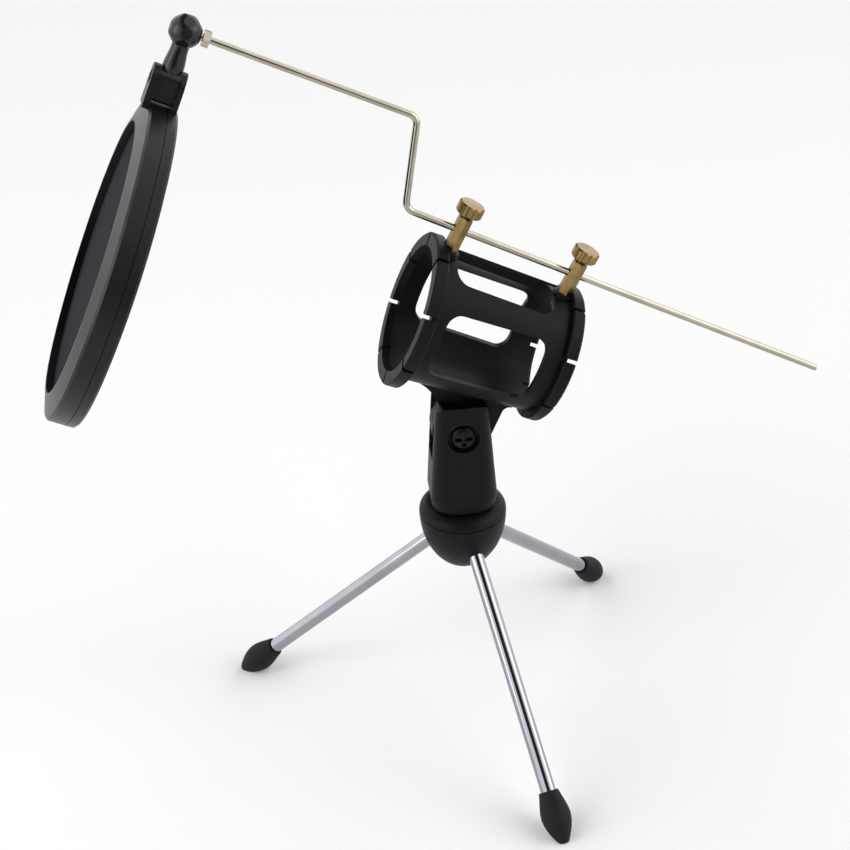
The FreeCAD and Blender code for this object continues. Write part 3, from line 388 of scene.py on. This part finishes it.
@dataclass
class Filter(SubAssembly):
    """Two moulded hoops that hold two nylon screens apart.

    The slack is a product of two waves, slack_waves in radians for each metre.
    """

    ring_count: int = 46
    spoke_count: int = 168
    slack_mm: float = 0.12
    slack_waves: tuple[float, float] = (90.0, 70.0)
    slack_starts: tuple[float, float] = (0.7, -0.4)
    edge_inset: float = 0.999
    edge_power: int = 4
    finishes: dict[str, Finish] = field(default_factory=lambda: {
        "filter_front_ring": FINE_ABS, "filter_rear_ring": FINE_ABS, "screen_hoop": FINE_ABS,
        "hinge_screw": ZINC_PLATE})

    def build(self) -> None:
        """Dresses the hoops and stretches both screens."""
        super().build()
        for node in ("screen_front", "screen_rear"):
            self.stretch_screen(node)

    def stretch_screen(self, node: str) -> None:
        """Makes one screen: a flat knit disc, clamped all round its edge.

        Args:
            node: the CAD disc that it stands for.
        """
        lowest, highest = (Vector(corner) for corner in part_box(node))
        centre = (lowest + highest) / 2
        radius = (highest.y - lowest.y) / 2
        normal = joint_axis("filter_swing")
        sideways = Vector((0.0, 1.0, 0.0))
        across = (sideways - normal * sideways.dot(normal)).normalized()
        up = normal.cross(across)
        points = [(0.0, 0.0)]
        faces = []
        for ring in range(1, self.ring_count + 1):
            for spoke in range(self.spoke_count):
                angle = 2 * math.pi * spoke / self.spoke_count
                reach = radius * self.edge_inset * ring / self.ring_count
                points.append((reach * math.cos(angle), reach * math.sin(angle)))
        for spoke in range(self.spoke_count):
            after = (spoke + 1) % self.spoke_count
            faces.append((0, 1 + spoke, 1 + after))
            for ring in range(1, self.ring_count):
                inner = 1 + (ring - 1) * self.spoke_count
                outer = 1 + ring * self.spoke_count
                faces.append((inner + spoke, outer + spoke, outer + after, inner + after))
        mesh = bpy.data.meshes.new(node + "_knit")
        places = [self.on_screen(x, y, radius, centre, across, up, normal) for x, y in points]
        mesh.from_pydata(places, [], faces)
        flat = mesh.uv_layers.new(name="across_the_cloth")
        for loop in mesh.loops:
            flat.data[loop.index].uv = points[loop.vertex_index]
        for polygon in mesh.polygons:
            polygon.use_smooth = True
        screen = bpy.data.objects.new(node + "_knit", mesh)
        bpy.context.scene.collection.objects.link(screen)
        self.wardrobe.dress(screen, SCREEN_KNIT)
        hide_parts(node)
        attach(screen, "filter")

    def on_screen(self, x: float, y: float, radius: float, centre: Vector, across: Vector, up: Vector,
                  normal: Vector) -> Vector:
        """A point of the cloth, with the slight slack that keeps it from looking like glass.

        Args:
            x: how far the point is from the middle, across.
            y: how far the point is from the middle, up.
            radius: the screen's radius.
            centre: the screen's middle.
            across: the unit vector across the screen.
            up: the unit vector up the screen.
            normal: the unit vector square to the screen.

        Returns:
            The point in the row frame.
        """
        edge = 1.0 - min(1.0, math.hypot(x, y) / radius) ** self.edge_power
        ripple = (math.sin(x * self.slack_waves[0] + self.slack_starts[0])
                  * math.cos(y * self.slack_waves[1] + self.slack_starts[1]))
        return centre + across * x + up * y + normal * (ripple * edge * self.slack_mm * MM)


@dataclass
class SoftBox:
    """One large soft light."""

    name: str
    place: tuple[float, float, float]
    aim: tuple[float, float, float]
    width: float
    height: float
    power: float

    def build(self) -> None:
        """Makes the light and turns it to its aim."""
        light = bpy.data.lights.new(self.name, "AREA")
        light.shape = "RECTANGLE"
        light.size = self.width
        light.size_y = self.height
        light.energy = self.power
        lamp = bpy.data.objects.new(self.name, light)
        lamp.location = self.place
        direction = Vector(self.aim) - Vector(self.place)
        lamp.rotation_euler = direction.to_track_quat("-Z", "Y").to_euler()
        bpy.context.scene.collection.objects.link(lamp)
        LOG.info("light %s", self.name)


@dataclass
class Studio:
    """A pale floor, two bright sides with soft boxes in front of them, and the camera."""

    floor_size: float = 8.0
    floor_colour: str = "#f4f4f3"
    floor_roughness: float = 0.9
    floor_mirror: float = 0.1
    surround: str = "#f4f4f6"
    panel_strength: float = 1.85
    gap_strength: float = 0.05
    back_share: float = 0.25
    panel_edge: tuple[float, float] = (0.32, 0.52)
    target: tuple[float, float, float] = (-0.01574, 0.0, 0.15315)
    distance: float = 0.7560
    turn_deg: float = -4.94
    height_deg: float = 32.17
    roll_deg: float = -2.42
    lens_mm: float = 72.0
    sensor_mm: float = 36.0
    clip_end: float = 50.0
    view_transform: str = "Standard"
    soft_boxes: tuple[SoftBox, ...] = (
        SoftBox("key_from_left", place=(-1.3, -0.4, 0.8), aim=(-0.02, 0.0, 0.15),
                width=0.5, height=1.0, power=5.0),
        SoftBox("fill_from_right", place=(1.3, -0.3, 0.8), aim=(0.0, 0.0, 0.15),
                width=0.5, height=1.0, power=4.0))

    def build(self) -> None:
        """Makes the floor, the surround, the lights and the camera."""
        bpy.context.scene.view_settings.view_transform = self.view_transform
        self.lay_floor()
        self.light_surround()
        for box in self.soft_boxes:
            box.build()
        self.place_camera()

    def lay_floor(self) -> None:
        """Makes the floor, just under the feet."""
        half = self.floor_size / 2
        mesh = bpy.data.meshes.new("floor")
        corners = [(-half, -half, 0), (half, -half, 0), (half, half, 0), (-half, half, 0)]
        mesh.from_pydata(corners, [], [(0, 1, 2, 3)])
        floor = bpy.data.objects.new("floor", mesh)
        bpy.context.scene.collection.objects.link(floor)
        paper = bpy.data.materials.new("matt_paper")
        paper.use_nodes = True
        shader = paper.node_tree.nodes["Principled BSDF"]
        shader.inputs["Base Color"].default_value = linear(self.floor_colour)
        shader.inputs["Roughness"].default_value = self.floor_roughness
        shader.inputs["Specular IOR Level"].default_value = self.floor_mirror
        floor.data.materials.append(paper)

    def light_surround(self) -> None:
        """Lights the room from two tall bright sides, with a dim gap that narrows towards the back."""
        world = bpy.data.worlds.new("two_bright_sides")
        world.use_nodes = True
        tree = world.node_tree
        background = tree.nodes["Background"]
        background.inputs["Color"].default_value = linear(self.surround)
        direction = add(tree, "ShaderNodeTexCoord").outputs["Generated"]
        parts = add(tree, "ShaderNodeSeparateXYZ", links={0: direction})
        sideways = add(tree, "ShaderNodeMath", links={0: parts.outputs["X"]}, operation="ABSOLUTE")
        backwards = add(tree, "ShaderNodeMath", {1: 0.0}, {0: parts.outputs["Y"]}, operation="MAXIMUM")
        reach = add(tree, "ShaderNodeMath", {1: self.back_share},
                    {0: backwards.outputs["Value"], 2: sideways.outputs["Value"]}, operation="MULTIPLY_ADD")
        lowest, highest = self.panel_edge
        strength = add(tree, "ShaderNodeMapRange",
                       {"From Min": lowest, "From Max": highest, "To Min": self.gap_strength,
                        "To Max": self.panel_strength},
                       {"Value": reach.outputs["Value"]}, interpolation_type="SMOOTHSTEP")
        tree.links.new(strength.outputs["Result"], background.inputs["Strength"])
        bpy.context.scene.world = world

    def place_camera(self) -> None:
        """Puts the camera at its viewing angle, with a slight roll."""
        turn = math.radians(self.turn_deg)
        height = math.radians(self.height_deg)
        level = math.cos(height)
        back = Vector((math.sin(turn) * level, -math.cos(turn) * level, math.sin(height)))
        right = Vector((math.cos(turn), math.sin(turn), 0.0))
        up = back.cross(right)
        roll = math.radians(self.roll_deg)
        rolled_right = right * math.cos(roll) + up * math.sin(roll)
        rolled_up = back.cross(rolled_right)
        data = bpy.data.cameras.new("camera")
        data.sensor_width = self.sensor_mm
        data.lens = self.lens_mm
        data.clip_end = self.clip_end
        camera = bpy.data.objects.new("camera", data)
        axes = Matrix((rolled_right, rolled_up, back)).transposed()
        camera.matrix_world = Matrix.Translation(Vector(self.target) + back * self.distance) @ axes.to_4x4()
        bpy.context.scene.collection.objects.link(camera)
        bpy.context.scene.camera = camera
        LOG.info("camera %s", tuple(camera.location))


def main() -> None:
    """Builds every sub-assembly in order, then the studio."""
    logging.basicConfig(level=logging.INFO, format="%(message)s")
    wardrobe = Wardrobe()
    for assembly in (Tripod, SwivelPost, ShockCage, Boom, Filter):
        assembly(wardrobe).build()
        LOG.info("%s done", assembly.__name__)
    Studio().build()


if __name__ == "__main__":
    main()
